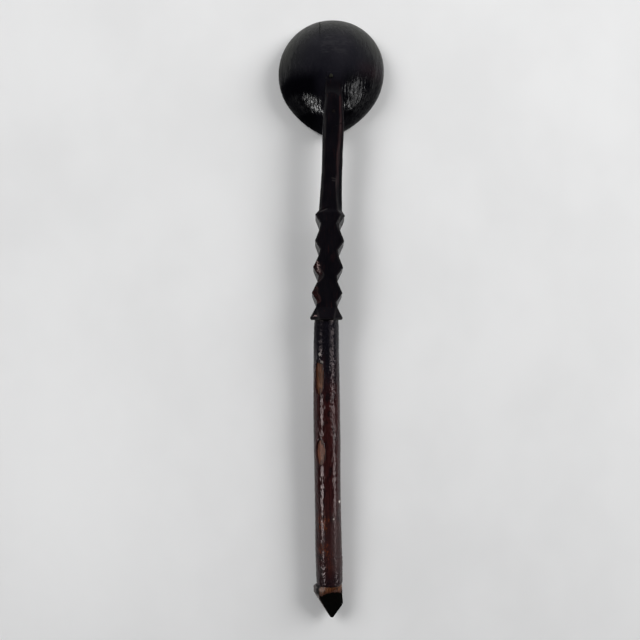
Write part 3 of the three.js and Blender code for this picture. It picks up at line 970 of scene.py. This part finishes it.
def bare_wood():
    p = Paint("bare_wood")
    streaks = p.noise((0.6, 9, 0.6), 4, 0.65, 0.4)
    clouds = p.noise((3, 6, 3), 3, 0.6)
    tan = p.blend(p.span(streaks, 0.35, 0.66), STICK_DARK, STICK_TAN)
    tan = p.blend(p.span(clouds, 0.52, 0.72), tan, STICK_CLOUD)
    tan = p.blend(p.times(p.mask("fresh"), p.span(streaks, 0.4, 0.6)), tan, STICK_FRESH)
    # Darker along the windows' edges and just above the point
    colour = p.blend(p.mask("darker_bands"), tan, STICK_DARKER)
    colour = p.blend(p.mask("glaze"), colour, STICK_GLAZE)
    colour = p.blend(p.mask("char"), colour, STICK_CHAR)
    # Painted highlight: the pale gleam on the point's left facet
    colour = p.blend(p.mask("gleam"), colour, STICK_GLEAM)
    rough = p.span(p.math("ADD", streaks, p.mask("char")), 0.3, 1.5, 0.34, 0.9)
    normal = p.bump(streaks, 0.1)
    normal = p.bump(p.noise((0.7, 0.9, 0.7), 3, 0.6), 0.05, over=normal)
    return p.finish(colour, rough, normal, p.span(p.mask("char"), 0, 1, 0.12, 0.02))


PEG_DARK, PEG_DARK_GRAIN = (0.003, 0.0024, 0.0026), (0.007, 0.0048, 0.0046)
PEG_PALE, PEG_PALE_GRAIN = (0.010, 0.010, 0.007), (0.028, 0.028, 0.020)


def peg_wood():
    p = Paint("peg_wood")
    grain = p.noise((0.35, 0.35, 3), 3, 0.6)
    stripes = p.span(grain, 0.35, 0.65)
    dark = p.blend(stripes, PEG_DARK, PEG_DARK_GRAIN)
    pale = p.blend(stripes, PEG_PALE, PEG_PALE_GRAIN)
    colour = p.blend(p.mask("bleached"), dark, pale)
    return p.finish(colour, p.span(grain, 0.3, 0.7, 0.4, 0.6), p.bump(grain, 0.05), 0.08)


TABLE_DARK, TABLE_PALE = (0.797, 0.797, 0.795), (0.837, 0.837, 0.835)


def table_top():
    p = Paint("table_top")
    clouds = p.noise((90, 110, 90), 3, 0.55)
    colour = p.blend(p.span(clouds, 0.3, 0.7), TABLE_DARK, TABLE_PALE)
    grit = p.noise((0.6, 0.6, 0.6), 2)
    return p.finish(colour, p.span(clouds, 0.3, 0.7, 0.55, 0.65), p.bump(grit, 0.01))


# The ladle

# Spots on the bowl's back: centre, size, seed and raggedness
BOWL_SPECK = ((-3.9, 173.4, 30), (0.8, 0.8, 9), 58, 0.2)
BOWL_SCUFF = ((3.4, 198, 28), (13, 10, 30), 57, 0.5)


def make_bowl():
    piece = add_piece("shell_bowl", bowl_shape(), "bowl", polished_shell())
    cut(piece, [peg_hole(which) for which in PEGS])
    points = points_of(piece)
    x, y, z = points.T

    # A warm purple-red tint at the right, painted as a reflection; a pale band along the far rim,
    # painted as a reflection of the room and table; scuffs; and painted shade, near black, beside the
    # arm
    right_side = ease(x, 14, 27) * ease(y, 192, 176) * ease(y, 148, 160)
    paint(piece, "warm_reflection", right_side * (0.7 + 0.5 * lumps(points, (4, 9, 4), 30)))
    reach = np.hypot(x / 40, (y - BOWL_MIDDLE) / np.where(y > BOWL_MIDDLE, BOWL_FAR, BOWL_NEAR))
    # Painted reflection of the room and table: a pale band along the far rim, with a real speck added
    # below
    rim = mix(0.1, 1.0, ease(y - 0.15 * x, 174, 202)) * ease(reach, 0.4, 1.05)
    rim = rim * (0.9 + 0.25 * lumps(points, (5, 9, 5), 31))
    paint(piece, "rim", np.maximum(rim, 0.8 * blob(points, *BOWL_SPECK)))
    paint(piece, "scuff", blob(points, *BOWL_SCUFF))
    # Painted shade beside the arm
    paint(piece, "deep", ease(y, 184, 172) * ease(np.abs(x + 1), 2, 15))

    # Where the polish is dull: low on the back and beside the arm, with glints left free
    south = mix(0.86, 0.78, ease(x, -5, 10))
    dull = mix(south, 0.4, ease(y, 170, 215)) * ease(z / BOWL_DEPTH, 0.75, 0.4)
    slant = y + 0.15 * x
    left_glint = ease(slant, 148.0, 152.4) * ease(slant, 164.0, 155.5) * ease(x, -34, -22)
    left_dull = 0.95 * ease(y, 186, 172) * ease(x, -2, -8) * (1 - left_glint)
    lobes = 0.22 + 0.25 * ease(y, 158, 166) + 0.3 * hill(y, 160.7, 1.1)
    right_dull = np.maximum(0.8 * ease(y, 156, 152), lobes * ease(y, 180, 172)) * ease(x, 2, 6)
    paint(piece, "dull", np.max([dull, left_dull, right_dull], axis=0))


# The section's top corners: both edges of the face, then the lower edge of each trim
TOP_CORNERS = (0, 1, 2, 7)

# Light scratches on the neck's top: ends as X from its middle line and Y
SCRATCHES = [
    ((-8.6, 76.3), (-2.7, 78.9)),
    ((7.3, 73.9), (6.4, 68.8)),
    ((0.2, 101.2), (3.0, 100.4)),
    ((0.6, 99.4), (2.8, 98.9)),
    ((-10.6, 15.4), (-7.0, 10.0)),
]
SCRATCH_STRENGTH = 0.38


def make_neck():
    piece = add_piece("toothed_neck", neck_shape(), "carved_neck", black_wood())
    cut(piece, [peg_hole(which) for which in PEGS])
    points = points_of(piece)
    x, y, z = points.T
    place = np.stack([x - middle_x(y), z - middle_z(y)], axis=1)
    section = neck_section(y)
    edges = [section[:, k] for k in TOP_CORNERS]
    face_left, face_right, right_trim, left_trim = edges

    # Bare wood on the worn trims, and red on the arm's right trim and on a tooth
    trim = np.max([lens(y, *worn) for worn in WORN_TRIMS], axis=0)
    worn = on_facet(place, left_trim, face_left) * ease(trim, 0.2, 0.9)
    bare = worn * ease(place[:, 0], -3.2, -4.6)
    bare = bare * mix(0.3, 1.0, np.maximum(ease(y, 30, 33), ease(y, 24, 22)))
    paint(piece, "worn", bare * (0.8 + 0.5 * lumps(points, (1.2, 2.0, 1.2), 32)))
    red = on_facet(place, face_right, mix(face_right, right_trim, 0.38)) * ease(y, 84, 112)
    spot = blob(points, (1.0, 43.5, middle_z(43.5) + 7.7), (1.6, 4.0, 2.0), 33)
    paint(piece, "red", np.maximum(red, 0.4 * spot))

    # Paler edges, partly rubbed wear and partly painted highlight where edges catch the light; a
    # painted highlight line round the skirt's end; and scratches
    away = np.min([np.linalg.norm(place - edge, axis=1) for edge in edges], axis=0)
    edge_wear_and_sheen = (0.17 + 0.2 * lumps(points, (2.5, 7, 2.5), 45)) * ease(away, 0.75, 0.25)
    skirt_sheen_line = ease(np.abs(y + 0.7 - 0.04 * x), 0.5, 0.15)
    edge_wear_and_sheen += 0.3 * skirt_sheen_line * (1 + lumps(points, (3, 3, 3), 46))
    scratches = np.max([scratch(place[:, 0], y, *ends) for ends in SCRATCHES], axis=0)
    edge_wear_and_sheen = np.maximum(edge_wear_and_sheen, scratches * ease(place[:, 1], 3, 4.5))
    paint(piece, "edge", edge_wear_and_sheen * ease(y, 175, 168))

    # Painted highlights: glinting dots on a tooth and a glint on the skirt; and a smoky strap end
    glint_dots = blob(points, (-9.7, 36.5, middle_z(36.5) + 6.0), (1.7, 6.5, 3.0), 49, 0.3)
    glint = blob(points, (-12.3, 1.2, middle_z(1.2) + 8.5), (1.6, 0.8, 4.0), 47, 0.2)
    paint(piece, "painted_glints", np.maximum(glint_dots, glint))
    paint(piece, "smoke", ease(y, 169, 176))

    # Matte surfaces: skirt, face, the arm's right trim, worn trims and strap
    face = on_facet(place, face_left, face_right)
    outer = on_facet(place, mix(face_right, right_trim, 0.5), right_trim) * ease(y, 76, 84)
    matte = [ease(y, 10, 6), 0.8 * face, 0.85 * outer, 0.9 * worn, ease(y, 160, 170)]
    paint(piece, "matte", np.max(matte, axis=0))


def scratch(x, y, start, end):
    """A light scratch along the straight line from start to end, 0 away from it."""
    ahead = np.subtract(end, start)
    out = np.stack([x - start[0], y - start[1]], axis=1)
    share = np.clip(out @ ahead / (ahead @ ahead), 0, 1)
    away = np.linalg.norm(out - share[:, None] * ahead, axis=1)
    return SCRATCH_STRENGTH * ease(away, 0.55, 0.2)


def on_facet(place, start, end):
    """1 for places on the line from start to end and 0 away from it."""
    ahead = end - start
    share = np.sum((place - start) * ahead, axis=1) / np.sum(ahead**2, axis=1)
    away = np.linalg.norm(place - start - ahead * np.clip(share, 0.03, 0.97)[:, None], axis=1)
    return ease(away, 0.75, 0.4)


# Spots on the bark: strength, centre, size, seed and raggedness
RUBS = [
    (0.9, (-6.3, -150, 20), (4.4, 9, 5), 35, 0.5),
    (0.4, (-1.5, -179, 20), (2.8, 11, 4), 36, 0.5),
    (0.7, (-6.5, -170, 20), (4.5, 4.5, 5), 37, 0.5),
]
# Pale flecks: the first a pale mark, the other three painted glints
FLECKS_AND_GLINTS = [
    (1.0, (6.0, -136.4, 17), (1.0, 1.3, 2.2), 39, 0.2),
    (0.3, (-7.4, -32.6, 27), (1.5, 1.7, 5), 53, 0.3),
    (0.4, (-8.9, -26.8, 25), (0.9, 1.5, 5), 54, 0.3),
    (0.45, (1.6, -148, 22), (0.8, 0.8, 5), 55, 0.2),
]
GREY_SPOT = (0.6, (-7.3, -187.5, 19), (1.8, 7, 4), 38, 0.5)
SOOT_SPOT = (0.9, (-6.5, -168.5, 20), (4.0, 4.2, 6), 56, 0.5)


def make_sleeve():
    piece = add_piece("bark_grip", sleeve_shape(), "bark_sleeve", red_bark())
    cut(piece, [window_cutter(*window, 40 + 3 * k) for k, window in enumerate(WINDOWS)])
    points = points_of(piece)
    y = points[:, 1]
    across = points[:, 0] - middle_x(y)

    # Black at the top and near the lip, and where the bark is too sooty to shine
    top = ease(y + 9 * lumps(points, (4, 12, 4), 34), -64, -26)
    near_lip = ease(y + 5 * lumps(points, (3, 7, 3), 52), -181, -194)
    paint(piece, "black", np.maximum(top, 0.6 * near_lip))
    soot = ease(y + 2 * lumps(points, (2, 3, 2), 44), -32, -14)
    soot = soot * mix(1.0, 0.25, ease(across, 2.5, 4.0))
    paint(piece, "soot", np.maximum(soot, spots(points, [SOOT_SPOT])))

    # Orange rubs of wear, a paler greyish sheen toward the lip that is painted as a highlight and
    # made rougher, a grey patch, and pale flecks, most of them painted glints
    paint(piece, "rub", spots(points, RUBS))
    sheen_haze = ease(y, -120, -165) * mix(0.35, 1.0, ease(y, -194, -182))
    paint(piece, "sheen_haze", sheen_haze * mix(0.45, 1.0, ease(across, 0.5, 3.0)))
    paint(piece, "grey", spots(points, [GREY_SPOT]))
    paint(piece, "flecks_and_glints", spots(points, FLECKS_AND_GLINTS))


# A painted gleam beside the point, as in the tables above
GLEAM_SPOT = (0.2, (-7.2, -200.8, 20), (2.6, 3.4, 7), 60, 0.3)


def make_core():
    piece = add_piece("whittled_stick", core_shape(), "grip_core", bare_wood())
    points = points_of(piece)
    x, y, z = points.T
    turn = np.arctan2(-(x - middle_x(y)), z - middle_z(y))

    # The charred point, which starts in a wavy line, and its glazed left side
    start = LIP - 3.8 - 2.8 * hill(turn, 0.75, 0.4) - 1.6 * ease(turn, -0.4, -1.2)
    start += 0.7 * lumps(points, (2, 2, 2), 41)
    side = ease(turn, 0.72, 0.92) * (y < LIP + 1)
    paint(piece, "glaze", side)
    paint(piece, "char", ease(y, start + 0.4, start - 0.5) * (1 - 0.8 * side))

    # Darker along the windows' edges and just above the point, and fresh wood in one window
    edge_darkening = []
    for window in WINDOWS:
        edge_darkening.append(ease(window_reach(y, turn, window), 0.6, 1.0) * (np.abs(y - window[0]) < 20))
    edge_darkening = np.max(edge_darkening, axis=0) * (0.6 + 0.6 * lumps(points, (1.4, 2.2, 1.4), 50))
    paint(piece, "darker_bands", np.maximum(ease(y, start + 3.0, start) * 0.8, edge_darkening))
    paint(piece, "fresh", np.abs(y - WINDOWS[1][0]) < 14)

    # A painted gleam, pale grey, on the facet at the point's left
    gleam = ease(turn, 0.8, 0.95) * ease(turn, 2.2, 1.9) * (0.8 + 0.4 * lumps(points, (3, 3, 3), 51))
    gleam *= mix(0.3 * ease(turn, 1.0, 1.2), 1.0, ease(y, LIP - 5, LIP - 9))
    gleam *= (y < LIP - 1.5) * ease(y, TIP + 3, TIP + 8)
    paint(piece, "gleam", np.maximum(gleam, spots(points, [GLEAM_SPOT])))


BLEACHED = {"inner": 0.9, "outer": 0.0}


def make_pegs():
    material = peg_wood()
    for which in PEGS:
        piece = add_piece(f"{which}_peg", peg_shape(which), f"bowl_peg_{which}", material)
        paint(piece, "bleached", np.full(len(piece.data.vertices), BLEACHED[which]))


# The stage

CAMERA_PLACE = (-0.00855, -0.0018, 0.531)
CAMERA_LENS, CAMERA_SENSOR = 39.06, 36
TABLE_SIZE = 6.0


def make_camera():
    data = bpy.data.cameras.new("camera")
    data.lens = CAMERA_LENS
    data.sensor_width = CAMERA_SENSOR
    camera = bpy.data.objects.new("camera", data)
    camera.location = CAMERA_PLACE
    bpy.context.collection.objects.link(camera)
    bpy.context.scene.camera = camera


def make_table():
    half = TABLE_SIZE / 2
    mesh = bpy.data.meshes.new("table")
    corners = [(-half, -half, 0), (half, -half, 0), (half, half, 0), (-half, half, 0)]
    mesh.from_pydata(corners, [], [(0, 1, 2, 3)])
    table = bpy.data.objects.new("table", mesh)
    table.data.materials.append(table_top())
    bpy.context.collection.objects.link(table)


def add_light(name, start, end, width, radiance, glossy):
    """A rectangle of light from start to end, in metres, that faces the ladle.

    It lights surfaces evenly, or is only seen in polished ones where glossy is true.
    """
    start, end = Vector(start), Vector(end)
    middle = (start + end) / 2
    length = (end - start).length
    data = bpy.data.lights.new(name, "AREA")
    data.shape = "RECTANGLE"
    data.size, data.size_y = length, width
    data.energy = radiance * math.pi * length * width
    light = bpy.data.objects.new(name, data)
    back = middle.normalized()
    side = (end - start).normalized()
    up = back.cross(side).normalized()
    side = up.cross(back)
    light.matrix_world = Matrix((side, up, back)).transposed().to_4x4()
    light.location = middle
    light.visible_glossy = glossy
    light.visible_diffuse = not glossy
    bpy.context.collection.objects.link(light)


# The room's light: lowest and highest share of north in a direction, and its strength at both
ROOM_FADES = [(-0.6, 0.1, 0.01, 0.12), (0.2, 0.95, 0.0, 0.5)]
ROOM_COLOUR = (0.96, 0.97, 1.0, 1)


def make_room():
    """A dim room that is brighter to the north."""
    world = bpy.data.worlds.new("room")
    world.use_nodes = True
    nodes, links = world.node_tree.nodes, world.node_tree.links
    direction = nodes.new("ShaderNodeTexCoord").outputs["Generated"]
    split = nodes.new("ShaderNodeSeparateXYZ")
    links.new(direction, split.inputs[0])
    parts = []
    for fade in ROOM_FADES:
        made = nodes.new("ShaderNodeMapRange")
        set_inputs(made, SPAN_INPUTS, fade)
        links.new(split.outputs["Y"], made.inputs["Value"])
        parts.append(made.outputs["Result"])
    total = nodes.new("ShaderNodeMath")
    for part, socket in zip(parts, total.inputs):
        links.new(part, socket)
    background = nodes["Background"]
    background.inputs["Color"].default_value = ROOM_COLOUR
    links.new(total.outputs[0], background.inputs["Strength"])
    bpy.context.scene.world = world


# Lights: name, both ends of the middle line, width, radiance, and whether it only shows as gloss
LIGHTS = [
    ("soft_right", (1.05, 1.2, 1.03), (1.75, 0.38, 1.03), 1.0, 8.4, False),
    ("soft_left", (-0.87, 1.3, 1.31), (-1.6, 0.43, 1.31), 1.0, 6.2, False),
    ("window_far", (0.656, 0.05, 0.755), (0.745, -0.12, 0.65), 0.24, 9.0, True),
    ("window_near", (0.84, -0.12, 0.50), (0.883, -0.55, 0.47), 0.22, 11.0, True),
    ("window_left", (-0.312, -0.02, 0.276), (-0.312, -0.35, 0.276), 0.045, 30.0, True),
]


make_camera()
make_table()
make_room()
for light in LIGHTS:
    add_light(*light)
make_bowl()
make_neck()
make_sleeve()
make_core()
make_pegs()
bpy.context.scene.view_settings.view_transform = "Standard"
